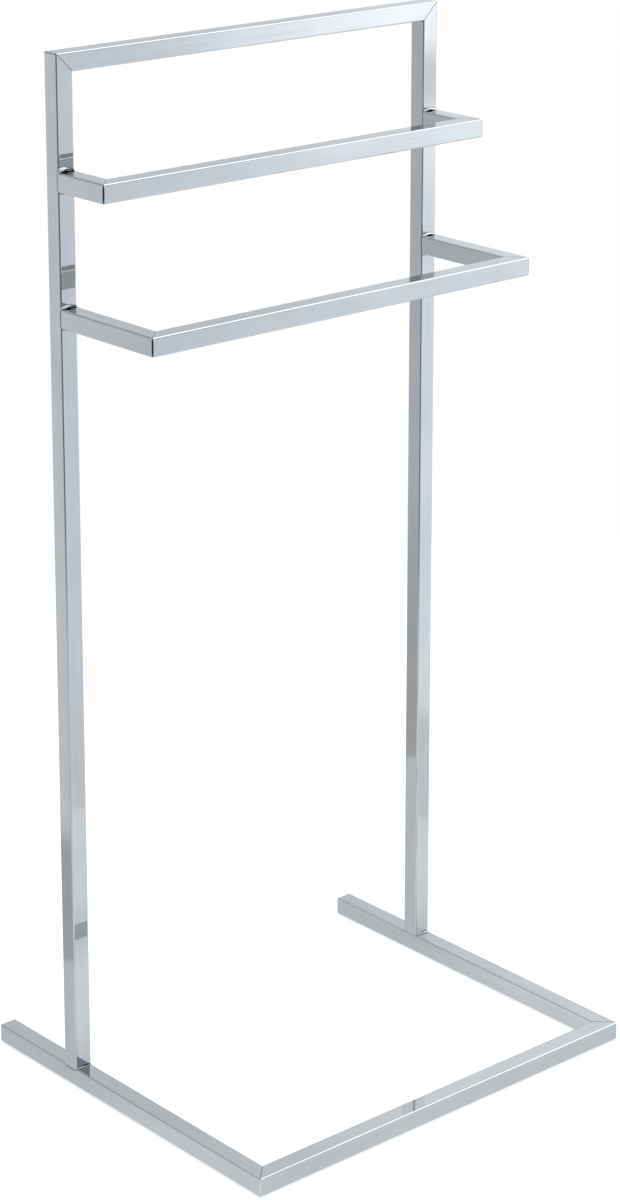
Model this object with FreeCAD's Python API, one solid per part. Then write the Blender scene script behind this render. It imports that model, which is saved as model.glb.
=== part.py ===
import FreeCAD, Part
import math
import os

# Freestanding towel stand of mitred and welded square tube, plated as one frame.
# Millimetres, +Z up, front towards -Y, origin on the floor under the middle of the outline.

# Overall size
overall_width = 460.0            # across the outer faces of the uprights, bars and base
overall_depth = 395.0            # from the front face of the base to its rear ends
overall_height = 1000.0          # from the floor to the top face of the top rail

# Square tube, the same for every member
tube_side = 18.0
tube_wall = 1.2
tube_corner_radius = 1.5

# Places of the members
upright_setback = 272.0          # from the front face of the base to the front faces of the uprights
upper_bar_drop = 125.0           # from the top face of the top rail to the upper bar's underside
upper_bar_reach = 65.5           # from the uprights' front faces to the bar's front face
lower_bar_drop = 125.0           # from the upper bar's underside to the lower bar's underside
lower_bar_reach = 132.0

# Mitred corners: a fine line stays between the two skins, and the sharp outer edge is dressed round
seam_width = 0.6
seam_depth = 0.3
mitre_edge_radius = 1.5

# Fillet welds where one tube lands square on another
weld_leg = 3.0
weld_hollow = 0.3                # how far the face of the bead dips below a straight slope
arm_weld_side_recess = 0.7       # an arm's bead stops short of the side faces, and leaves a groove there
foot_weld_side_recess = 0.0      # an upright's bead is dressed flush with the side faces

# Plates that close the rear ends of the base
end_plate_thickness = 2.0
end_plate_edge_radius = 0.5

# Pads under the base
glide_diameter = 12.0
glide_thickness = 1.5
glide_edge_chamfer = 0.4
glide_end_inset = 30.0           # from the front face or a rear end of the base to a pad's centre

Vector = FreeCAD.Vector
LEFT = Vector(-1, 0, 0)
RIGHT = Vector(1, 0, 0)
FORWARDS = Vector(0, -1, 0)
BACKWARDS = Vector(0, 1, 0)
DOWN = Vector(0, 0, -1)
UP = Vector(0, 0, 1)

# Centrelines and faces that the members share
half_side = tube_side / 2
left_x = half_side - overall_width / 2
right_x = -left_x
base_front_y = -overall_depth / 2
base_rear_y = overall_depth / 2
base_front_rail_y = base_front_y + half_side
base_z = glide_thickness + half_side
base_top_z = base_z + half_side
upright_front_y = base_front_y + upright_setback
upright_y = upright_front_y + half_side
top_rail_z = overall_height - half_side
upper_bar_z = overall_height - upper_bar_drop + half_side
lower_bar_z = upper_bar_z - lower_bar_drop


def rounded_square(side, radius):
    """Face of a square with rounded corners, centred on the origin in the XY plane."""
    edges = []
    arc_centre_distance = (side / 2 - radius) * math.sqrt(2)
    arcs = []
    for quarter in range(4):
        start_angle = quarter * math.pi / 2
        middle_angle = start_angle + math.pi / 4
        centre = Vector(math.cos(middle_angle), math.sin(middle_angle), 0) * arc_centre_distance
        angles = (start_angle, middle_angle, start_angle + math.pi / 2)
        arcs.append([centre + Vector(math.cos(angle), math.sin(angle), 0) * radius for angle in angles])
    for quarter, (first, middle, last) in enumerate(arcs):
        if radius > 0:
            edges.append(Part.Arc(first, middle, last).toShape())
        next_first = arcs[(quarter + 1) % len(arcs)][0]
        edges.append(Part.LineSegment(last, next_first).toShape())
    return Part.Face(Part.Wire(edges))


def square_bar(start, end, side, radius):
    """Solid bar with a rounded square section, along the straight line from start to end."""
    run = end - start
    bar = rounded_square(side, radius).extrude(Vector(0, 0, run.Length))
    bar.Placement = FreeCAD.Placement(start, FreeCAD.Rotation(UP, run))
    return bar


def block_beyond(point, outward):
    """Block on the outward side of the plane through the point, larger than any cut across one tube."""
    size = 4 * tube_side
    block = Part.makeBox(size, size, size, Vector(-size / 2, -size / 2, 0))
    block.Placement = FreeCAD.Placement(point, FreeCAD.Rotation(UP, outward))
    return block


def mitre_shaving(corner, first_leg, second_leg):
    """What dressing takes off the sharp outer edge of the corner that two tubes leave along the legs."""
    length = 2 * tube_side
    block = Part.makeBox(mitre_edge_radius, mitre_edge_radius, length, Vector(0, 0, -length / 2))
    round_centre = Vector(mitre_edge_radius, mitre_edge_radius, -length / 2)
    shaving = block.cut(Part.makeCylinder(mitre_edge_radius, length, round_centre))
    outer_edge = corner - (first_leg + second_leg) * half_side
    across = first_leg.cross(second_leg)
    shaving.Placement = FreeCAD.Placement(
        outer_edge, FreeCAD.Rotation(first_leg, second_leg, across, "ZYX")
    )
    return shaving


def tube(start, end, start_neighbour=None, end_neighbour=None):
    """Hollow square tube along its centreline from start to end.

    A plain end is cut square. At a mitred end the centrelines of two tubes meet, and the neighbour
    is the direction in which the other tube leaves that corner. The skin of a mitred end stops
    short of the joint, so that two such ends leave a fine line between them.
    """
    axis = (end - start).normalize()
    first = start - axis * half_side if start_neighbour else start
    last = end + axis * half_side if end_neighbour else end
    skin = square_bar(first, last, tube_side, tube_corner_radius)
    seam_side = tube_side - 2 * seam_depth
    core = square_bar(first, last, seam_side, max(tube_corner_radius - seam_depth, 0))
    for corner, neighbour, inward in ((start, start_neighbour, axis), (end, end_neighbour, -axis)):
        if neighbour:
            outward = (neighbour - inward).normalize()
            shaving = mitre_shaving(corner, inward, neighbour)
            skin = skin.cut([block_beyond(corner - outward * seam_width / 2, outward), shaving])
            core = core.cut([block_beyond(corner, outward), shaving])
    bore_side = tube_side - 2 * tube_wall
    bore = square_bar(first, last, bore_side, max(tube_corner_radius - tube_wall, 0))
    return skin.fuse(core).cut(bore)


def weld(landing, away, along, side_recess):
    """Bead round the end of a tube that lands square on the face of another of the same width.

    The landing is where the branch's centreline meets the face, away is the direction in which the
    branch leaves it, and along is the axis of the tube that carries it. The bead fills the corners
    across the tubes and the gaps beside their rounded edges, up to the recess from the side faces.
    """
    slope_middle = weld_leg / 2 - weld_hollow
    edge = half_side + weld_leg
    outline = [
        Part.LineSegment(Vector(0, -edge, -tube_corner_radius), Vector(0, edge, -tube_corner_radius)),
        Part.LineSegment(Vector(0, edge, -tube_corner_radius), Vector(0, edge, 0)),
        Part.Arc(
            Vector(0, edge, 0),
            Vector(0, half_side + slope_middle, slope_middle),
            Vector(0, half_side, weld_leg),
        ),
        Part.LineSegment(Vector(0, half_side, weld_leg), Vector(0, -half_side, weld_leg)),
        Part.Arc(
            Vector(0, -half_side, weld_leg),
            Vector(0, -half_side - slope_middle, slope_middle),
            Vector(0, -edge, 0),
        ),
        Part.LineSegment(Vector(0, -edge, 0), Vector(0, -edge, -tube_corner_radius)),
    ]
    face = Part.Face(Part.Wire([line.toShape() for line in outline]))
    half_width = half_side - side_recess
    face.translate(Vector(-half_width, 0, 0))
    bead = face.extrude(Vector(2 * half_width, 0, 0))
    branch = square_bar(Vector(0, 0, 0), Vector(0, 0, tube_side), tube_side, tube_corner_radius)
    carrier_start = Vector(0, -tube_side, -half_side)
    carrier_end = Vector(0, tube_side, -half_side)
    carrier = square_bar(carrier_start, carrier_end, tube_side, tube_corner_radius)
    bead = bead.cut(branch).cut(carrier)
    bead.Placement = FreeCAD.Placement(landing, FreeCAD.Rotation(along.cross(away), along, away, "ZYX"))
    return bead


def uprights_and_top_rail():
    """The upside-down U that stands on the base."""
    return {
        "left_upright": tube(
            Vector(left_x, upright_y, base_top_z),
            Vector(left_x, upright_y, top_rail_z),
            end_neighbour=RIGHT,
        ),
        "right_upright": tube(
            Vector(right_x, upright_y, base_top_z),
            Vector(right_x, upright_y, top_rail_z),
            end_neighbour=LEFT,
        ),
        "top_rail": tube(
            Vector(left_x, upright_y, top_rail_z),
            Vector(right_x, upright_y, top_rail_z),
            start_neighbour=DOWN,
            end_neighbour=DOWN,
        ),
        "left_foot_weld": weld(
            Vector(left_x, upright_y, base_top_z), UP, BACKWARDS, foot_weld_side_recess
        ),
        "right_foot_weld": weld(
            Vector(right_x, upright_y, base_top_z), UP, BACKWARDS, foot_weld_side_recess
        ),
    }


def towel_bar(name, rail_z, reach):
    """A rail carried in front of the uprights by an arm at each end."""
    rail_y = upright_front_y - reach + half_side
    pieces = {
        name + "_rail": tube(
            Vector(left_x, rail_y, rail_z),
            Vector(right_x, rail_y, rail_z),
            start_neighbour=BACKWARDS,
            end_neighbour=BACKWARDS,
        )
    }
    for side, arm_x, towards_rail in (("left", left_x, RIGHT), ("right", right_x, LEFT)):
        landing = Vector(arm_x, upright_front_y, rail_z)
        corner = Vector(arm_x, rail_y, rail_z)
        pieces[f"{name}_{side}_arm"] = tube(landing, corner, end_neighbour=towards_rail)
        pieces[f"{name}_{side}_weld"] = weld(landing, FORWARDS, UP, arm_weld_side_recess)
    return pieces


def end_plate(x):
    """Plate that closes the rear end of a base rail, flush with its faces."""
    plate = square_bar(
        Vector(x, base_rear_y - end_plate_thickness, base_z),
        Vector(x, base_rear_y, base_z),
        tube_side,
        tube_corner_radius,
    )
    rear_edges = [edge for edge in plate.Edges if edge.BoundBox.YMin > base_rear_y - end_plate_thickness / 2]
    return plate.makeFillet(end_plate_edge_radius, rear_edges)


def glide(x, y):
    """Round pad stuck to the underside of the base."""
    pad = Part.makeCylinder(glide_diameter / 2, glide_thickness, Vector(x, y, 0))
    floor_edges = [edge for edge in pad.Edges if edge.BoundBox.ZMax < glide_thickness / 2]
    return pad.makeChamfer(glide_edge_chamfer, floor_edges)


def base():
    """The U on the floor, open at the back, with its end plates and pads."""
    pieces = {
        "base_front_rail": tube(
            Vector(left_x, base_front_rail_y, base_z),
            Vector(right_x, base_front_rail_y, base_z),
            start_neighbour=BACKWARDS,
            end_neighbour=BACKWARDS,
        )
    }
    for side, rail_x, towards_front_rail in (("left", left_x, RIGHT), ("right", right_x, LEFT)):
        pieces[f"base_{side}_rail"] = tube(
            Vector(rail_x, base_rear_y - end_plate_thickness, base_z),
            Vector(rail_x, base_front_rail_y, base_z),
            end_neighbour=towards_front_rail,
        )
        pieces[f"base_{side}_end_plate"] = end_plate(rail_x)
        pieces[f"front_{side}_glide"] = glide(rail_x, base_front_y + glide_end_inset)
        pieces[f"rear_{side}_glide"] = glide(rail_x, base_rear_y - glide_end_inset)
    return pieces


pieces = {
    **uprights_and_top_rail(),
    **towel_bar("upper_bar", upper_bar_z, upper_bar_reach),
    **towel_bar("lower_bar", lower_bar_z, lower_bar_reach),
    **base(),
}

os.makedirs("parts", exist_ok=True)
for name, shape in pieces.items():
    solids = shape.Solids
    print(f"{name:24s} solids {len(solids)}  volume {shape.Volume:10.2f} mm3  valid {shape.isValid()}")
    shape.exportStep(os.path.join("parts", name + ".step"))
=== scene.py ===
"""Looks of a freestanding towel stand, welded from mitred square steel tube and chrome plated.

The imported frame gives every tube, plate and pad its shape and place, and this file dresses them.
It replaces the plain weld beads by run ones, and lights the stand in a small white studio.
Metres, +Z up, front towards -Y, origin on the floor under the middle of the stand.
"""

import logging
import math
from dataclasses import dataclass, field
from enum import Enum

import bmesh
import bpy
from mathutils import Matrix, Vector


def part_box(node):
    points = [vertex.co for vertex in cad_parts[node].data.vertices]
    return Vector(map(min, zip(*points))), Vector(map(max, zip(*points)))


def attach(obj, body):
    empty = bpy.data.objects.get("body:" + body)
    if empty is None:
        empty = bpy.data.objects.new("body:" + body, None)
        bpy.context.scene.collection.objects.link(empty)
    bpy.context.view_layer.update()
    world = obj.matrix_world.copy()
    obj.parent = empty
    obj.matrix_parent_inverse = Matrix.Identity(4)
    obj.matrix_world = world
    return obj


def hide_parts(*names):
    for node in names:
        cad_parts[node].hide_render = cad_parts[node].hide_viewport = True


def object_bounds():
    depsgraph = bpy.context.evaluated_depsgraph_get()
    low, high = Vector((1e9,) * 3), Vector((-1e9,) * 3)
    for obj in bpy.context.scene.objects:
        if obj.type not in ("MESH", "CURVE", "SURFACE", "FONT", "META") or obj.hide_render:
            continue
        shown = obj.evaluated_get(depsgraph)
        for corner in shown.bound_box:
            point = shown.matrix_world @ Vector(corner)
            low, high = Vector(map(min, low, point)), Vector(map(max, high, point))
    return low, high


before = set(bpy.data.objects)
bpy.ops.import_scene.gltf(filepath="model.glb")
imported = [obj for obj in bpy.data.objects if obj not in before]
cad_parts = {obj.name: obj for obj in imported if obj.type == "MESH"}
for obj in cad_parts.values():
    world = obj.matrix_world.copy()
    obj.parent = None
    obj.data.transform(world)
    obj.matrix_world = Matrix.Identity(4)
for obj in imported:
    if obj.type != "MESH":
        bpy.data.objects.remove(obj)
CAD_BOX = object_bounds()

logging.basicConfig(level=logging.INFO, format="%(message)s")
log = logging.getLogger("towel_stand")

MM = 0.001
BODY = "root"
# Reach, rays and openness range of the painted shade in crevices.
CREVICE_WIDTH = 1.3 * MM
CREVICE_RAYS = 8
CREVICE_OPENNESS = (0.6, 0.98)
# Colour of the painted shade inside crevices.
CREVICE_SHADE = "#17191B"

Colour = tuple[float, float, float, float]


def srgb(code: str) -> Colour:
    """Turn an sRGB hex code into the linear colour that a shader takes.

    Args:
        code: Six hex digits after a hash, such as "#C4C8CB".

    Returns:
        Red, green, blue and an alpha of 1.
    """
    channels = (int(code[start : start + 2], 16) / 255 for start in (1, 3, 5))
    linear = (c / 12.92 if c <= 0.04045 else ((c + 0.055) / 1.055) ** 2.4 for c in channels)
    return (*linear, 1.0)


def grey(level: float, blueness: float = 0.0) -> Colour:
    """Give a linear grey, cooled a little.

    Args:
        level: Brightness, where 1 is the white of the background.
        blueness: Share by which blue stands above red.

    Returns:
        Red, green, blue and an alpha of 1.
    """
    return (level * (1 - blueness / 2), level, level * (1 + blueness / 2), 1.0)


def eased(share: float) -> float:
    """Ease a share between 0 and 1, held at both ends."""
    share = min(max(share, 0.0), 1.0)
    return share * share * (3 - 2 * share)


def add_node(tree: bpy.types.NodeTree, kind: str, inputs: dict | None = None, **settings) -> bpy.types.Node:
    """Add a node with its settings, constants and links.

    Args:
        tree: Node tree that takes the node.
        kind: Type of the node, without the words that every shader node's type starts with.
        inputs: Constant or output socket for each named or numbered input.
        **settings: Properties of the node itself.

    Returns:
        The new node.
    """
    node = tree.nodes.new("ShaderNode" + kind)
    for name, value in settings.items():
        setattr(node, name, value)
    for key, value in (inputs or {}).items():
        if isinstance(value, bpy.types.NodeSocket):
            tree.links.new(value, node.inputs[key])
        else:
            node.inputs[key].default_value = value
    return node


def new_material(name: str) -> tuple[bpy.types.Material, bpy.types.NodeTree]:
    """Make an empty material.

    Args:
        name: Name of the finish.

    Returns:
        The material and its node tree, which has no nodes yet.
    """
    material = bpy.data.materials.new(name)
    material.use_nodes = True
    material.node_tree.nodes.clear()
    return material, material.node_tree


def paint_crevice_shade(tree: bpy.types.NodeTree, colour: bpy.types.NodeSocket) -> bpy.types.NodeSocket:
    """Paint shade into seams and the roots of welds: the colour goes near black where ambient occlusion finds the
    surface shut in.

    Args:
        tree: Node tree that takes the nodes.
        colour: Colour of the open surface.

    Returns:
        The output socket with the colour, dark inside gaps of about a millimetre.
    """
    shut, clear = CREVICE_OPENNESS
    openness = add_node(tree, "AmbientOcclusion", {"Distance": CREVICE_WIDTH}, samples=CREVICE_RAYS).outputs["AO"]
    # Painted shade: where the occlusion test finds the surface shut in, the colour goes to the crevice shade.
    plated = add_node(tree, "MapRange", {"Value": openness, "From Min": shut, "From Max": clear}).outputs["Result"]
    mix = add_node(tree, "MixRGB", {"Fac": plated, "Color1": srgb(CREVICE_SHADE), "Color2": colour})
    return mix.outputs["Color"]


def object_from(mesh: bmesh.types.BMesh, name: str) -> bpy.types.Object:
    """Turn a finished mesh into an object of the scene.

    Args:
        mesh: The mesh, which this frees.
        name: Name of the object and of its data.

    Returns:
        The new object, at the origin and without a material.
    """
    data = bpy.data.meshes.new(name)
    mesh.to_mesh(data)
    mesh.free()
    made = bpy.data.objects.new(name, data)
    bpy.context.scene.collection.objects.link(made)
    return made


class Run(Enum):
    """The way a tube runs, as the number of its axis."""

    ACROSS = 0
    LENGTHWISE = 1
    UPRIGHT = 2


@dataclass(frozen=True)
class MirrorChrome:
    """Drawn mild steel tube, buffed along its run, then nickel and bright chrome plated.

    The eye gets a mirror with a faint blue cast. The buffing leaves lines along the tube, which are
    drawn coarser than the real ones so that they show, the drawn walls are flat to a few microns
    only, so a reflection swims a little, and the plating bath leaves patches a shade less bright.
    """

    run: Run
    bright: str = "#C6CACD"
    hazed: str = "#BDC2C6"
    polish: tuple[float, float] = (0.015, 0.045)
    line_pitch_mm: float = 1.8
    line_length_mm: float = 110.0
    line_height_mm: float = 0.0012
    swell_pitch_mm: float = 14.0
    swell_length_mm: float = 90.0
    swell_height_mm: float = 0.006
    haze_size_mm: float = 70.0
    haze_range: tuple[float, float] = (0.1, 0.4)

    def stretched(self, tree: bpy.types.NodeTree, pitch_mm: float, length_mm: float) -> bpy.types.NodeSocket:
        """Scale the object's coordinates for a pattern that is drawn out along the tube.

        Args:
            tree: Node tree that takes the nodes.
            pitch_mm: Size of the pattern across the tube.
            length_mm: Size of the pattern along the tube.

        Returns:
            The output socket with the coordinates, one unit to each repeat.
        """
        sizes = [pitch_mm * MM] * 3
        sizes[self.run.value] = length_mm * MM
        place = add_node(tree, "TexCoord").outputs["Object"]
        scaled = add_node(tree, "VectorMath", {0: place, 1: [1 / size for size in sizes]}, operation="MULTIPLY")
        return scaled.outputs["Vector"]

    def material(self) -> bpy.types.Material:
        """Make the finish for tubes that run one way."""
        material, tree = new_material(f"mirror_chrome_{self.run.name.lower()}")
        haze_place = self.stretched(tree, self.haze_size_mm, self.haze_size_mm)
        haze = add_node(tree, "TexNoise", {"Vector": haze_place, "Scale": 1.0, "Detail": 2.0}).outputs["Fac"]
        line_place = self.stretched(tree, self.line_pitch_mm, self.line_length_mm)
        lines = add_node(tree, "TexNoise", {"Vector": line_place, "Scale": 1.0, "Detail": 1.0}).outputs["Fac"]
        swell_place = self.stretched(tree, self.swell_pitch_mm, self.swell_length_mm)
        swell = add_node(tree, "TexNoise", {"Vector": swell_place, "Scale": 1.0, "Detail": 0.0}).outputs["Fac"]
        blend = add_node(tree, "Math", {0: haze, 1: lines}, operation="MULTIPLY").outputs[0]
        start, end = self.haze_range
        worn = add_node(tree, "MapRange", {"Value": blend, "From Min": start, "From Max": end}).outputs["Result"]
        colour = add_node(
            tree, "MixRGB", {"Fac": worn, "Color1": srgb(self.bright), "Color2": srgb(self.hazed)}
        ).outputs["Color"]
        roughness = add_node(
            tree, "MapRange", {"Value": worn, "To Min": self.polish[0], "To Max": self.polish[1]}
        ).outputs["Result"]
        drawn = add_node(tree, "Bump", {"Height": swell, "Strength": 1.0, "Distance": self.swell_height_mm * MM})
        buffed = add_node(
            tree,
            "Bump",
            {
                "Height": lines,
                "Strength": 1.0,
                "Distance": self.line_height_mm * MM,
                "Normal": drawn.outputs["Normal"],
            },
        )
        # The base colour carries painted shade in seams and crevices.
        shader = add_node(
            tree,
            "BsdfPrincipled",
            {
                "Base Color": paint_crevice_shade(tree, colour),
                "Metallic": 1.0,
                "Roughness": roughness,
                "Normal": buffed.outputs["Normal"],
            },
        )
        add_node(tree, "OutputMaterial", {"Surface": shader.outputs["BSDF"]})
        return material


@dataclass(frozen=True)
class Mottle:
    """Fine unevenness of a surface, which changes its colour, its gloss and its height together."""

    size_mm: float
    height_mm: float
    tones: tuple[str, str]
    roughness: tuple[float, float]
    detail: float = 2.0

    def sockets(self, tree: bpy.types.NodeTree) -> dict[str, bpy.types.NodeSocket]:
        """Add the pattern's nodes.

        Args:
            tree: Node tree that takes the nodes.

        Returns:
            The output socket for each input of the shader that the pattern changes.
        """
        place = add_node(tree, "TexCoord").outputs["Object"]
        scale = 1 / (self.size_mm * MM)
        grain = add_node(tree, "TexNoise", {"Vector": place, "Scale": scale, "Detail": self.detail}).outputs["Fac"]
        first, second = (srgb(tone) for tone in self.tones)
        colour = add_node(tree, "MixRGB", {"Fac": grain, "Color1": first, "Color2": second})
        least, most = self.roughness
        roughness = add_node(tree, "MapRange", {"Value": grain, "To Min": least, "To Max": most})
        bump = add_node(tree, "Bump", {"Height": grain, "Strength": 1.0, "Distance": self.height_mm * MM})
        return {
            "Base Color": colour.outputs["Color"],
            "Roughness": roughness.outputs["Result"],
            "Normal": bump.outputs["Normal"],
        }


@dataclass(frozen=True)
class WeldChrome:
    """Gas shielded weld bead, wire brushed and plated together with the tubes.

    The plating copies the bead, so the eye gets the same chrome with a softer, wavier shine.
    """

    grain: Mottle = Mottle(size_mm=1.6, height_mm=0.012, tones=("#C4C8CB", "#AEB3B7"), roughness=(0.04, 0.12))

    def material(self) -> bpy.types.Material:
        """Make the finish of all beads."""
        material, tree = new_material("plated_weld")
        inputs = self.grain.sockets(tree)
        # Painted shade in the bead's crevices and roots.
        inputs["Base Color"] = paint_crevice_shade(tree, inputs["Base Color"])
        shader = add_node(tree, "BsdfPrincipled", {**inputs, "Metallic": 1.0})
        add_node(tree, "OutputMaterial", {"Surface": shader.outputs["BSDF"]})
        return material


@dataclass(frozen=True)
class WeldRootAndDarkReflection:
    """Bare steel in the root of a joint, where the plating bath doesn't reach.

    The weld's heat left a dull, nearly black scale on it, mottled and slightly rough. The same finish paints the
    dark reflection down the bars' mitre corners.
    """

    scale: Mottle = Mottle(size_mm=0.9, height_mm=0.02, tones=("#141618", "#24272A"), roughness=(0.4, 0.65))

    def material(self) -> bpy.types.Material:
        """Make the finish of all open roots and of the painted mitre reflections."""
        material, tree = new_material("scaled_weld_root_and_painted_reflection")
        shader = add_node(tree, "BsdfPrincipled", self.scale.sockets(tree))
        add_node(tree, "OutputMaterial", {"Surface": shader.outputs["BSDF"]})
        return material


@dataclass(frozen=True)
class PadRubber:
    """Grey EPDM rubber pad, moulded, with the matt skin and fine pits of its mould."""

    pits: Mottle = Mottle(
        size_mm=0.35, height_mm=0.03, tones=("#8A8C8E", "#9C9E9F"), roughness=(0.55, 0.8), detail=3.0
    )
    ior: float = 1.52

    def material(self) -> bpy.types.Material:
        """Make the finish of the pads."""
        material, tree = new_material("moulded_epdm_rubber")
        shader = add_node(tree, "BsdfPrincipled", {**self.pits.sockets(tree), "IOR": self.ior})
        add_node(tree, "OutputMaterial", {"Surface": shader.outputs["BSDF"]})
        return material


@dataclass(frozen=True)
class Tube:
    """Section of the square tube that every member is made of, in metres."""

    half_side: float = 9 * MM
    corner_radius: float = 1.5 * MM

    @property
    def flat_half(self) -> float:
        """Half of the flat part of a face."""
        return self.half_side - self.corner_radius

    def face_fall(self, across: float) -> float:
        """Depth of the rounded edge below the flat face.

        Args:
            across: Distance from the middle of the face.

        Returns:
            How far the surface has fallen there, 0 on the flat part.
        """
        beyond = min(max(abs(across) - self.flat_half, 0.0), self.corner_radius)
        return self.corner_radius - math.sqrt(self.corner_radius**2 - beyond**2)


@dataclass(frozen=True)
class WeldRun:
    """How one joint was welded.

    The fullest place and the crevice's place and spread are shares of the half width, from the middle
    towards the stand's right. The crevice is the gap that the bead leaves above the branch. The recess
    is how far the fill beside the rounded edges stays below the side faces, and open sides have no
    weld there but show the joint's bare root.
    """

    fullest: float
    crevice: float
    crevice_place: float
    side_recess: float
    leg: float = 2.9 * MM
    spread: float = 2.0 * MM
    crevice_spread: float = 0.6
    open_sides: bool = False


@dataclass(frozen=True)
class WeldBead:
    """Bead round the end of a tube that lands square on the face of another of the same width.

    The landing is where the branch's centreline meets the carrier's face, away is the direction in
    which the branch leaves it, and along is the carrier's axis, towards the run that shows. Two runs
    of weld fill the corners across the tubes, and the sides get a thin fill. A run keeps its thinnest
    share of size far from its fullest place, fades out on the corners over the fade arc, and keeps
    the steady share of its spread where it is thin.
    """

    node: str
    landing: Vector
    away: Vector
    along: Vector
    run: WeldRun
    tube: Tube = field(default_factory=Tube)
    thinnest: float = 0.3
    fullness_spread: float = 0.85
    steady_spread: float = 0.5
    back_leg: float = 1.5 * MM
    crown: float = 0.3 * MM
    crown_lean: float = 0.707
    crown_roundness: float = 0.75
    ripple_pitch: float = 2.1 * MM
    ripple_height: float = 0.03 * MM
    ripple_phase: float = 3.0
    leg_ripple: float = 0.03
    lip_overlap: float = 0.05 * MM
    lip_back: tuple[float, float] = (0.1 * MM, 0.3 * MM)
    heel_height: float = 0.2 * MM
    root_depth: float = 0.7 * MM
    bare_opening: float = 1.2 * MM
    bare_share: float = 0.55
    no_weld_below: float = 0.05
    fade_arc: float = math.pi / 3
    step: float = 0.3 * MM
    side_steps: int = 8
    arc_steps: int = 9
    crown_steps: int = 10
    hidden_steps: int = 5

    def path(self) -> list[tuple[Vector, Vector, float]]:
        """Walk once round the branch's section.

        Returns:
            For each stop its place in the section's plane, the outward direction there, and how much
            of the full bead it has, 1 on the runs across the tubes and 0 on the side faces.
        """
        stops = []
        flat, radius = self.tube.flat_half, self.tube.corner_radius
        run_steps = round(2 * flat / self.step)
        fade_start = math.pi / 2 - self.fade_arc
        for quarter in range(4):
            turn = Matrix.Rotation(-quarter * math.pi / 2, 2)
            is_run = quarter % 2 == 0
            count = run_steps if is_run else self.side_steps
            for k in range(count):
                across = -flat + 2 * flat * k / count
                place = turn @ Vector((across, self.tube.half_side))
                stops.append((place, turn @ Vector((0.0, 1.0)), 1.0 if is_run else 0.0))
            for k in range(self.arc_steps):
                angle = math.pi / 2 * k / self.arc_steps
                normal = Vector((math.sin(angle), math.cos(angle)))
                place = turn @ (Vector((flat, flat)) + normal * radius)
                fading = 1 - eased(angle / self.fade_arc)
                growing = eased((angle - fade_start) / self.fade_arc)
                stops.append((place, turn @ normal, fading if is_run else growing))
        return stops

    def side_share(self, place: Vector) -> float:
        """Share of the half width at which a stop is, from the middle towards the stand's right."""
        return math.copysign(place.x / self.tube.half_side, place.x * self.along.cross(self.away).x)

    def opening(self, place: Vector) -> float:
        """Height of the crevice at a stop, 0 on the run that doesn't show."""
        off = (self.side_share(place) - self.run.crevice_place) / self.run.crevice_spread
        return self.run.crevice * math.exp(-off * off) if place.y > 0 else 0.0

    def bare_steps(self, place: Vector, amount: float) -> int:
        """Count the steps of a section, from its lip upwards, that show the bare root.

        Args:
            place: The stop, in the section's plane.
            amount: How much of the full bead it has.

        Returns:
            All steps on an open side, and more on the run the wider its crevice is.
        """
        if amount < self.no_weld_below:
            return self.crown_steps + self.hidden_steps if self.run.open_sides else 0
        return round(self.crown_steps * min(self.opening(place) / self.bare_opening, 1.0) * self.bare_share)

    def section(self, place: Vector, outward: Vector, amount: float) -> list[Vector]:
        """Outline of the bead at one stop of the path.

        Args:
            place: The stop, in the section's plane.
            outward: Outward direction there.
            amount: How much of the full bead it has.

        Returns:
            Closed outline, each point with its two places in the section's plane and its distance
            from the carrier's face.
        """
        run = self.run
        off = (self.side_share(place) - run.fullest) / self.fullness_spread
        swelling = self.thinnest + (1 - self.thinnest) * math.exp(-(off**2))
        wave = math.sin(2 * math.pi * place.x / self.ripple_pitch + self.ripple_phase * run.fullest)
        leg = (run.leg if place.y > 0 else self.back_leg) * swelling * (1 + self.leg_ripple * wave)
        recess = (1 - amount) * run.side_recess
        toe = amount * leg - recess
        toe_fall = self.tube.face_fall((place + outward * toe).x)
        lip_out = amount * (self.opening(place) - self.lip_overlap) - recess
        lip_up = amount * run.spread * (self.steady_spread + (1 - self.steady_spread) * swelling)
        crown = amount * (self.crown * swelling + self.ripple_height * wave)
        points = []
        for k in range(self.crown_steps + 1):
            share = k / self.crown_steps
            swell = crown * self.crown_lean * math.sin(math.pi * share) ** self.crown_roundness
            out = lip_out + (toe - lip_out) * share + swell
            up = lip_up * (1 - share) - toe_fall * share + swell
            points.append((out, up))
        root, bottom = -recess - self.root_depth, -toe_fall - self.root_depth
        points += [(toe, bottom), (root, bottom), (root, amount * self.heel_height)]
        points.append((-recess - self.lip_back[0], amount * self.lip_back[1]))
        side = self.tube.half_side
        placed = [(place + outward * out, up) for out, up in points]
        return [Vector((max(-side, min(side, at.x)), at.y, up)) for at, up in placed]

    def build(self) -> bpy.types.Object:
        """Sweep the sections round the branch into one closed mesh.

        Returns:
            The bead, in place, with its bare root as the second material.
        """
        sideways = self.along.cross(self.away)
        to_frame = Matrix((sideways, self.along, self.away)).transposed()
        mesh = bmesh.new()
        stops = self.path()
        rings = [
            [mesh.verts.new(self.landing + to_frame @ point) for point in self.section(*stop)]
            for stop in stops
        ]
        for stop, ring, next_ring in zip(stops, rings, rings[1:] + rings[:1]):
            bare = self.bare_steps(stop[0], stop[2])
            for k in range(len(ring)):
                following = (k + 1) % len(ring)
                face = mesh.faces.new((ring[k], ring[following], next_ring[following], next_ring[k]))
                face.material_index = int(k < bare)
                face.smooth = True
        bmesh.ops.recalc_face_normals(mesh, faces=mesh.faces)
        return object_from(mesh, self.node + "_bead")


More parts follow.
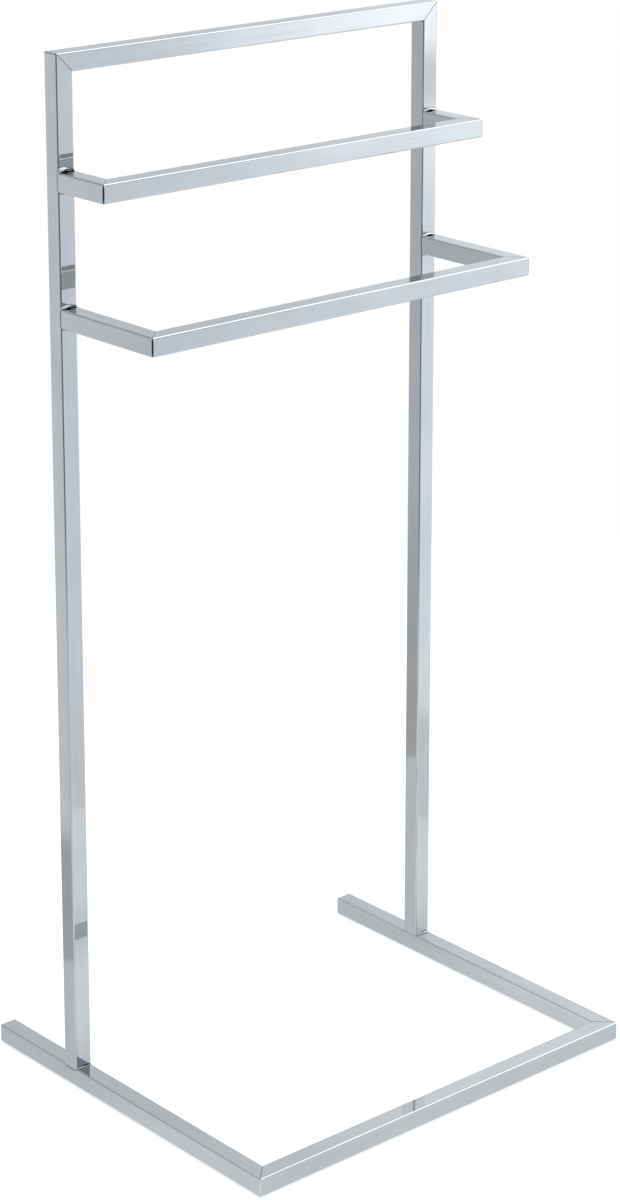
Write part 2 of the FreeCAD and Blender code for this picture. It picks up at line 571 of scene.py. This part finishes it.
@dataclass(frozen=True)
class MitreSeamAndDarkReflection:
    """Dark line down the rounded outer corner of a mitre: the mitre's seam, drawn wide and near black as a painted
    dark reflection on the rounded corner.

    The corner's axis stands at its foot, and the corner faces an azimuth from the front towards the
    stand's right, in degrees. The line narrows by a share at its ends, the later the blunter it is.
    """

    name: str
    foot: Vector
    height: float
    facing: float
    half_angle: float
    radius: float = Tube.corner_radius
    proud: float = 0.03 * MM
    depth: float = 0.25 * MM
    end_gap: float = 1.0 * MM
    narrowing: float = 0.75
    bluntness: int = 5
    rows: int = 18
    columns: int = 10

    def build(self) -> bpy.types.Object:
        """Bend a thin closed sliver round the corner, narrower towards its ends.

        Returns:
            The seam, in place.
        """
        mesh = bmesh.new()
        layers = []
        for radius in (self.radius + self.proud, self.radius - self.depth):
            layer = []
            for row in range(self.rows + 1):
                share = row / self.rows
                reach = self.half_angle * (1 - self.narrowing * abs(2 * share - 1) ** self.bluntness)
                rise = self.end_gap + (self.height - 2 * self.end_gap) * share
                for column in range(self.columns + 1):
                    angle = math.radians(self.facing + reach * (2 * column / self.columns - 1))
                    offset = Vector((radius * math.sin(angle), -radius * math.cos(angle), rise))
                    layer.append(mesh.verts.new(self.foot + offset))
            layers.append(layer)
        width = self.columns + 1
        for layer in layers:
            for row in range(self.rows):
                for column in range(self.columns):
                    k = row * width + column
                    mesh.faces.new((layer[k], layer[k + 1], layer[k + width + 1], layer[k + width]))
        last_row = self.rows * width
        rim = list(range(width))
        rim += [row * width + self.columns for row in range(1, self.rows + 1)]
        rim += [last_row + column for column in range(self.columns - 1, -1, -1)]
        rim += [row * width for row in range(self.rows - 1, 0, -1)]
        for k, following in zip(rim, rim[1:] + rim[:1]):
            mesh.faces.new((layers[0][k], layers[0][following], layers[1][following], layers[1][k]))
        bmesh.ops.recalc_face_normals(mesh, faces=mesh.faces)
        return object_from(mesh, self.name)


@dataclass(frozen=True)
class Finishes:
    """The stand's finishes, each made once."""

    chrome: dict[Run, bpy.types.Material]
    weld: bpy.types.Material
    # Near-black finish of bare weld roots, which also paints the dark reflection on the mitre corners.
    root: bpy.types.Material
    rubber: bpy.types.Material

    @classmethod
    def make(cls) -> "Finishes":
        """Make the materials of all finishes."""
        chrome = {run: MirrorChrome(run).material() for run in Run}
        return cls(chrome, WeldChrome().material(), WeldRootAndDarkReflection().material(), PadRubber().material())


def dress(node: str, material: bpy.types.Material) -> None:
    """Give a node of the frame its finish.

    Args:
        node: Name of the node.
        material: The finish.
    """
    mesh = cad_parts[node].data
    mesh.materials.clear()
    mesh.materials.append(material)
    log.info("dressed %s in %s", node, material.name)


def lay_bead(weld: WeldBead, finishes: Finishes) -> None:
    """Build a bead in the place of the frame's plain one.

    Args:
        weld: The bead.
        finishes: The stand's finishes.
    """
    bead = weld.build()
    bead.data.materials.append(finishes.weld)
    bead.data.materials.append(finishes.root)
    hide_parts(weld.node)
    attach(bead, BODY)
    log.info("laid %s, %d faces", bead.name, len(bead.data.polygons))


@dataclass(frozen=True)
class StandingFrame:
    """The upside-down U of two uprights and the top rail, and the beads at its feet."""

    left_foot: WeldRun = WeldRun(
        fullest=0.2, crevice=0.9 * MM, crevice_place=0.4, side_recess=0.0, leg=1.6 * MM, spread=1.0 * MM
    )
    right_foot: WeldRun = WeldRun(
        fullest=0.3, crevice=0.5 * MM, crevice_place=0.25, side_recess=0.2 * MM, leg=1.7 * MM, spread=1.6 * MM
    )

    def landing(self, side: str) -> Vector:
        """Middle of an upright's foot on the base rail's top face."""
        low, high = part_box(f"{side}_upright")
        return Vector(((low.x + high.x) / 2, (low.y + high.y) / 2, low.z))

    def build(self, finishes: Finishes) -> None:
        """Dress the tubes and weld their feet down.

        Args:
            finishes: The stand's finishes.
        """
        dress("top_rail", finishes.chrome[Run.ACROSS])
        for side, run in (("left", self.left_foot), ("right", self.right_foot)):
            dress(f"{side}_upright", finishes.chrome[Run.UPRIGHT])
            bead = WeldBead(
                node=f"{side}_foot_weld",
                landing=self.landing(side),
                away=Vector((0, 0, 1)),
                along=Vector((0, -1, 0)),
                run=run,
            )
            lay_bead(bead, finishes)


@dataclass(frozen=True)
class TowelBar:
    """A rail in front of the uprights, on an arm at each end."""

    name: str
    left: WeldRun
    right: WeldRun
    # Half widths in degrees of the painted dark reflection on the left and the right corner.
    dark_line_half_angles: tuple[float, float] = (33.0, 10.0)

    def landing(self, side: str) -> Vector:
        """Middle of an arm's end on the upright's front face."""
        low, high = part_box(f"{self.name}_{side}_arm")
        return Vector(((low.x + high.x) / 2, high.y, (low.z + high.z) / 2))

    def build(self, finishes: Finishes) -> None:
        """Dress the tubes and weld the arms to the uprights.

        Args:
            finishes: The stand's finishes.
        """
        dress(f"{self.name}_rail", finishes.chrome[Run.ACROSS])
        for side, run in (("left", self.left), ("right", self.right)):
            dress(f"{self.name}_{side}_arm", finishes.chrome[Run.LENGTHWISE])
            bead = WeldBead(
                node=f"{self.name}_{side}_weld",
                landing=self.landing(side),
                away=Vector((0, -1, 0)),
                along=Vector((0, 0, 1)),
                run=run,
            )
            lay_bead(bead, finishes)
        self.draw_mitre_seams_and_reflections(finishes)

    def draw_mitre_seams_and_reflections(self, finishes: Finishes) -> None:
        """Draw the dark seam down both outer corners, with a painted dark reflection that is wider on the left
        corner than on the right.

        Args:
            finishes: The stand's finishes.
        """
        low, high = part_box(f"{self.name}_rail")
        left_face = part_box(f"{self.name}_left_arm")[0].x
        right_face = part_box(f"{self.name}_right_arm")[1].x
        inset = Tube().corner_radius
        corners = (("left", left_face + inset, -45.0), ("right", right_face - inset, 45.0))
        for (side, across, facing), half_angle in zip(corners, self.dark_line_half_angles):
            seam = MitreSeamAndDarkReflection(
                name=f"{self.name}_{side}_mitre_seam",
                foot=Vector((across, low.y + inset, low.z)),
                height=high.z - low.z,
                facing=facing,
                half_angle=half_angle,
            ).build()
            # The near-black root finish paints the dark reflection on the rounded corner.
            seam.data.materials.append(finishes.root)
            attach(seam, BODY)
            log.info("opened %s", seam.name)


@dataclass(frozen=True)
class Base:
    """The U on the floor with its end plates and pads."""

    def build(self, finishes: Finishes) -> None:
        """Dress the rails, the plates and the pads.

        Args:
            finishes: The stand's finishes.
        """
        dress("base_front_rail", finishes.chrome[Run.ACROSS])
        for side in ("left", "right"):
            dress(f"base_{side}_rail", finishes.chrome[Run.LENGTHWISE])
            dress(f"base_{side}_end_plate", finishes.chrome[Run.ACROSS])
            for end in ("front", "rear"):
                dress(f"{end}_{side}_glide", finishes.rubber)


@dataclass(frozen=True)
class Panel:
    """Something that the chrome reflects from far off: a softbox, a card or the dark of the room.

    Azimuths run from the front towards the stand's right, from -100 to 260 degrees, and elevations
    are above the horizon. Each edge has its own width over which it fades.
    """

    name: str
    colour: Colour
    azimuths: tuple[float, float]
    elevations: tuple[float, float]
    azimuth_fades: tuple[float, float]
    elevation_fades: tuple[float, float]

    def over(
        self,
        tree: bpy.types.NodeTree,
        azimuth: bpy.types.NodeSocket,
        elevation: bpy.types.NodeSocket,
        behind: bpy.types.NodeSocket | Colour,
    ) -> bpy.types.NodeSocket:
        """Put the panel in front of what is behind it.

        Args:
            tree: The world's node tree.
            azimuth: Azimuth of the ray, in degrees.
            elevation: Elevation of the ray, in degrees.
            behind: Colour of what is behind.

        Returns:
            The output socket with the new colour.
        """
        edges = (
            (azimuth, self.azimuths[0], self.azimuth_fades[0] / 2),
            (azimuth, self.azimuths[1], -self.azimuth_fades[1] / 2),
            (elevation, self.elevations[0], self.elevation_fades[0] / 2),
            (elevation, self.elevations[1], -self.elevation_fades[1] / 2),
        )
        mask = 1.0
        for angle, edge, fade in edges:
            inside = add_node(
                tree,
                "MapRange",
                {"Value": angle, "From Min": edge - fade, "From Max": edge + fade},
                interpolation_type="SMOOTHSTEP",
            ).outputs["Result"]
            mask = add_node(tree, "Math", {0: inside, 1: mask}, operation="MULTIPLY").outputs[0]
        mix = add_node(tree, "MixRGB", {"Fac": mask, "Color1": behind, "Color2": self.colour}, label=self.name)
        return mix.outputs["Color"]


@dataclass(frozen=True)
class SweepLight:
    """How the white floor looks in the chrome.

    The stand is in a pool of light that is weaker behind it and close to the base's rails, with a
    dimmer ring round it and a brighter spot at its left front corner. Lengths are in metres. The
    light grows between the two places of the front fade and the two distances of the rail fade.
    """

    pool_radius: float = 0.48
    pool_fade: float = 0.02
    ring_radius: float = 0.75
    ring_fade: float = 0.1
    front_fade: tuple[float, float] = (0.13, -0.06)
    rail_fade: tuple[float, float] = (0.01, 0.07)
    pool_back: Colour = grey(0.80, 0.03)
    pool_front: Colour = grey(1.07, 0.03)
    pool_at_rails: Colour = grey(0.93, 0.03)
    ring_back: Colour = grey(0.58, -0.01)
    ring_front: Colour = grey(0.92, -0.01)
    spot: Colour = grey(1.4, 0.0)
    spot_middle: Vector = field(default_factory=lambda: Vector((-0.2445, -0.2135, 0)))
    spot_radius: float = 0.0165
    spot_edge: float = 0.007


@dataclass(frozen=True)
class Studio:
    """A white tent with a large softbox on the right and two dark openings beside the camera.

    Each panel stands in front of the ones that are listed before it.
    """

    tent: Colour = grey(0.86, 0.02)
    fill: float = 0.5
    panels: tuple[Panel, ...] = (
        Panel("front_tent", grey(0.97, 0.10), (0, 60), (-70, 6), (16, 16), (2, 10)),
        Panel("right_tent", grey(1.21, 0.06), (41.7, 56), (-70, 6), (7, 16), (2, 10)),
        Panel("softbox_skirt", grey(1.64, 0.03), (40, 54), (-11.3, 8), (7, 14), (5, 4)),
        Panel("lamp_gap", grey(1.05, 0.0), (41, 56), (-10.7, -9.7), (4, 10), (0.6, 0.6)),
        Panel("side_tent", grey(1.2, 0.02), (118, 137), (-20, 36), (14, 11), (10, 10)),
        Panel("left_card", grey(0.68, 0.05), (218.5, 262), (-60, 20), (5, 2), (6, 12)),
        Panel("left_card_foot", grey(0.56, 0.03), (218.5, 262), (-60, -19), (5, 2), (2, 5)),
        Panel("back_wall", grey(0.68, 0.06), (143, 262), (22, 52), (16, 2), (8, 8)),
        Panel("side_end", grey(0.95, 0.05), (130, 148), (2, 27), (6, 10), (4, 4)),
        Panel("back_side", grey(0.76, 0.06), (138, 160), (2, 27), (5, 6), (4, 4)),
        Panel("back_dusk", grey(0.50, 0.06), (158, 262), (2, 34), (14, 2), (8, 16)),
        Panel("back_lamp", grey(1.55, 0.02), (219, 227), (25.5, 31.5), (2.5, 2.5), (2, 2)),
        Panel("front_dusk", grey(0.50, 0.08), (0, 39.5), (2, 33), (8, 3), (6, 4)),
        Panel("front_lamp", grey(1.65, 0.02), (30, 41), (21.5, 26.6), (4, 3), (3, 1)),
        Panel("ceiling", grey(1.2, 0.0), (-101, 262), (52, 91), (0.1, 0.1), (16, 0.1)),
        Panel("ceiling_middle", grey(0.70, 0.04), (-101, 262), (68, 91), (0.1, 0.1), (8, 0.1)),
        Panel("front_glow", grey(1.6, 0.02), (41.5, 47), (25, 33), (2, 3), (3, 3)),
        Panel("softbox", grey(2.6, 0.02), (46, 84), (22, 60), (7, 8), (12, 12)),
        Panel("dark_room_left", grey(0.02, 0.1), (-86, -51), (-19.5, 10), (3, 2), (4, 8)),
        Panel("dark_room_right", grey(0.02, 0.1), (-39, -6), (-19.5, 10), (2, 3), (4, 8)),
    )
    azimuth_span: tuple[float, float] = (-100.0, 260.0)
    sweep: SweepLight = field(default_factory=SweepLight)
    floor_radius: float = 1.7
    floor_fade: float = 0.5
    floor_segments: int = 96
    floor_colour: str = "#E6E7E8"
    floor_glow: float = 0.56
    lamp_place: tuple[float, float, float] = (0.3, -0.2, 2.6)
    lamp_side: float = 2.2
    lamp_power: float = 30.0

    def build(self) -> None:
        """Make the world, the floor and the lamp."""
        self.make_world()
        self.make_floor()
        self.make_lamp()

    def make_world(self) -> None:
        """Paint the tent round the stand: white for the camera, and with its panels for the chrome."""
        world = bpy.data.worlds.new("white_tent")
        bpy.context.scene.world = world
        world.use_nodes = True
        tree = world.node_tree
        tree.nodes.clear()
        ray = add_node(tree, "TexCoord").outputs["Generated"]
        parts = add_node(tree, "SeparateXYZ", {"Vector": ray}).outputs
        to_front = add_node(tree, "Math", {0: parts["Y"], 1: -1.0}, operation="MULTIPLY").outputs[0]
        turned = add_node(tree, "Math", {0: parts["X"], 1: to_front}, operation="ARCTAN2").outputs[0]
        degrees = add_node(tree, "Math", {0: turned}, operation="DEGREES").outputs[0]
        first, last = self.azimuth_span
        azimuth = add_node(tree, "Math", {0: degrees, 1: last, 2: first}, operation="WRAP").outputs[0]
        raised = add_node(tree, "Math", {0: parts["Z"]}, operation="ARCSINE").outputs[0]
        elevation = add_node(tree, "Math", {0: raised}, operation="DEGREES").outputs[0]
        colour = self.tent
        for panel in self.panels:
            colour = panel.over(tree, azimuth, elevation, colour)
        path = add_node(tree, "LightPath").outputs
        lit = add_node(tree, "MixRGB", {"Fac": path["Is Glossy Ray"], "Color1": grey(self.fill), "Color2": colour})
        straight = {0: path["Is Camera Ray"], 1: path["Is Transmission Ray"]}
        seen = add_node(tree, "Math", straight, operation="MAXIMUM")
        shown = add_node(tree, "MixRGB", {"Fac": seen.outputs[0], "Color1": lit.outputs[0], "Color2": grey(1.0)})
        background = add_node(tree, "Background", {"Color": shown.outputs[0], "Strength": 1.0})
        add_node(tree, "OutputWorld", {"Surface": background.outputs[0]})

    def seen_floor(
        self, tree: bpy.types.NodeTree, place: bpy.types.NodeSocket, camera_ray: bpy.types.NodeSocket
    ) -> bpy.types.NodeSocket:
        """Make the white paper that the camera sees, with the stand's shadow.

        Args:
            tree: The floor's node tree.
            place: Place on the floor, from its middle.
            camera_ray: Whether the ray comes from the camera.

        Returns:
            The output socket with the shader, clear at the floor's rim.
        """
        distance = add_node(tree, "VectorMath", {0: place}, operation="LENGTH").outputs["Value"]
        glow_level = add_node(tree, "Math", {0: camera_ray, 1: self.floor_glow}, operation="MULTIPLY")
        paper = add_node(tree, "BsdfDiffuse", {"Color": srgb(self.floor_colour)}).outputs[0]
        glow = add_node(tree, "Emission", {"Color": grey(1.0), "Strength": glow_level.outputs[0]}).outputs[0]
        surface = add_node(tree, "AddShader", {0: paper, 1: glow}).outputs[0]
        rim = add_node(
            tree,
            "MapRange",
            {"Value": distance, "From Min": self.floor_radius - self.floor_fade, "From Max": self.floor_radius},
            interpolation_type="SMOOTHSTEP",
        ).outputs["Result"]
        clear = add_node(tree, "BsdfTransparent").outputs[0]
        return add_node(tree, "MixShader", {0: rim, 1: surface, 2: clear}).outputs[0]

    def mirrored_floor(
        self, tree: bpy.types.NodeTree, place: bpy.types.NodeSocket, base_half: Vector
    ) -> bpy.types.NodeSocket:
        """Make the pool of light that the chrome sees.

        Args:
            tree: The floor's node tree.
            place: Place on the floor, from its middle.
            base_half: Half of the base's width and depth.

        Returns:
            The output socket with the shader, clear beyond the ring.
        """
        sweep = self.sweep
        distance = add_node(tree, "VectorMath", {0: place}, operation="LENGTH").outputs["Value"]
        absolute = add_node(tree, "VectorMath", {0: place}, operation="ABSOLUTE").outputs["Vector"]
        beyond = add_node(tree, "VectorMath", {0: absolute, 1: base_half}, operation="SUBTRACT").outputs["Vector"]
        sides = add_node(tree, "SeparateXYZ", {"Vector": beyond}).outputs
        outside = add_node(tree, "Math", {0: sides["X"], 1: sides["Y"]}, operation="MAXIMUM").outputs[0]
        from_rails = add_node(tree, "Math", {0: outside}, operation="ABSOLUTE").outputs[0]
        lengthwise = add_node(tree, "SeparateXYZ", {"Vector": place}).outputs["Y"]
        from_spot = add_node(
            tree, "VectorMath", {0: place, 1: sweep.spot_middle}, operation="DISTANCE"
        ).outputs["Value"]
        edges = {
            "front": (lengthwise, *sweep.front_fade),
            "open": (from_rails, *sweep.rail_fade),
            "pool": (distance, sweep.pool_radius + sweep.pool_fade, sweep.pool_radius),
            "ring": (distance, sweep.ring_radius + sweep.ring_fade, sweep.ring_radius),
            "spot": (from_spot, sweep.spot_radius + sweep.spot_edge, sweep.spot_radius - sweep.spot_edge),
        }
        masks = {
            name: add_node(
                tree,
                "MapRange",
                {"Value": value, "From Min": start, "From Max": end},
                interpolation_type="SMOOTHSTEP",
            ).outputs["Result"]
            for name, (value, start, end) in edges.items()
        }
        # Each layer lies inside a mask, over what is outside it: a colour, or a layer named before.
        layers = (
            ("lit_front", "open", sweep.pool_front, sweep.pool_at_rails),
            ("pool_floor", "front", "lit_front", sweep.pool_back),
            ("spotted_pool", "spot", sweep.spot, "pool_floor"),
            ("dim_ring", "front", sweep.ring_front, sweep.ring_back),
            ("whole_floor", "pool", "spotted_pool", "dim_ring"),
        )
        tones: dict[str, bpy.types.NodeSocket] = {}
        for name, mask, within, beside in layers:
            colours = {"Color1": tones.get(beside, beside), "Color2": tones.get(within, within)}
            tones[name] = add_node(tree, "MixRGB", {"Fac": masks[mask], **colours}).outputs["Color"]
        light = add_node(tree, "Emission", {"Color": tones["whole_floor"], "Strength": 1.0}).outputs[0]
        clear = add_node(tree, "BsdfTransparent").outputs[0]
        return add_node(tree, "MixShader", {0: masks["ring"], 1: clear, 2: light}).outputs[0]

    def floor_material(self, base_half: Vector) -> bpy.types.Material:
        """Make the floor's material, one way for the camera and another for the chrome.

        Args:
            base_half: Half of the base's width and depth.

        Returns:
            The material.
        """
        material, tree = new_material("white_sweep")
        place = add_node(tree, "TexCoord").outputs["Object"]
        path = add_node(tree, "LightPath").outputs
        seen = self.seen_floor(tree, place, path["Is Camera Ray"])
        mirrored = self.mirrored_floor(tree, place, base_half)
        both = add_node(tree, "MixShader", {0: path["Is Glossy Ray"], 1: seen, 2: mirrored})
        add_node(tree, "OutputMaterial", {"Surface": both.outputs[0]})
        return material

    def make_floor(self) -> None:
        """Lay the round floor under the stand."""
        mesh = bmesh.new()
        bmesh.ops.create_circle(mesh, cap_ends=True, segments=self.floor_segments, radius=self.floor_radius)
        floor = object_from(mesh, "floor")
        low, high = CAD_BOX
        base_half = Vector(((high[0] - low[0]) / 2, (high[1] - low[1]) / 2, 0))
        floor.data.materials.append(self.floor_material(base_half))

    def make_lamp(self) -> None:
        """Hang the overhead softbox that lights floor and pads, and that the chrome doesn't mirror."""
        lamp = bpy.data.lights.new("overhead_softbox", "AREA")
        lamp.shape = "SQUARE"
        lamp.size = self.lamp_side
        lamp.energy = self.lamp_power
        carrier = bpy.data.objects.new("overhead_softbox", lamp)
        carrier.location = self.lamp_place
        carrier.visible_glossy = False
        bpy.context.scene.collection.objects.link(carrier)


@dataclass(frozen=True)
class Camera:
    """The camera at the photograph's place."""

    location: tuple[float, float, float] = (-1.8741, -2.1514, 1.4749)
    azimuth: float = -41.076
    elevation: float = 14.379
    lens: float = 95.35
    sensor: float = 36.0
    shift_y: float = -0.2417
    clip: tuple[float, float] = (0.05, 50.0)

    def build(self) -> None:
        """Make the camera and the colour management that goes with it."""
        data = bpy.data.cameras.new("camera")
        data.lens = self.lens
        data.sensor_width = self.sensor
        data.shift_y = self.shift_y
        data.clip_start, data.clip_end = self.clip
        camera = bpy.data.objects.new("camera", data)
        camera.location = self.location
        camera.rotation_euler = (math.radians(90 - self.elevation), 0.0, math.radians(self.azimuth))
        bpy.context.scene.collection.objects.link(camera)
        bpy.context.scene.camera = camera
        bpy.context.scene.view_settings.view_transform = "Standard"


def main() -> None:
    """Dress the stand and set it in the studio."""
    Camera().build()
    Studio().build()
    finishes = Finishes.make()
    StandingFrame().build(finishes)
    TowelBar(
        name="upper_bar",
        left=WeldRun(
            fullest=-0.45,
            crevice=1.5 * MM,
            crevice_place=0.35,
            side_recess=0.0,
            leg=4.8 * MM,
            spread=2.6 * MM,
            crevice_spread=0.95,
        ),
        right=WeldRun(fullest=0.1, crevice=0.7 * MM, crevice_place=-0.1, side_recess=1.0 * MM),
    ).build(finishes)
    TowelBar(
        name="lower_bar",
        left=WeldRun(
            fullest=-0.4,
            crevice=1.3 * MM,
            crevice_place=0.45,
            side_recess=0.03 * MM,
            leg=3.2 * MM,
            crevice_spread=0.9,
            open_sides=True,
        ),
        right=WeldRun(
            fullest=0.0, crevice=0.6 * MM, crevice_place=0.1, side_recess=0.03 * MM, open_sides=True
        ),
    ).build(finishes)
    Base().build(finishes)


if __name__ == "__main__":
    main()
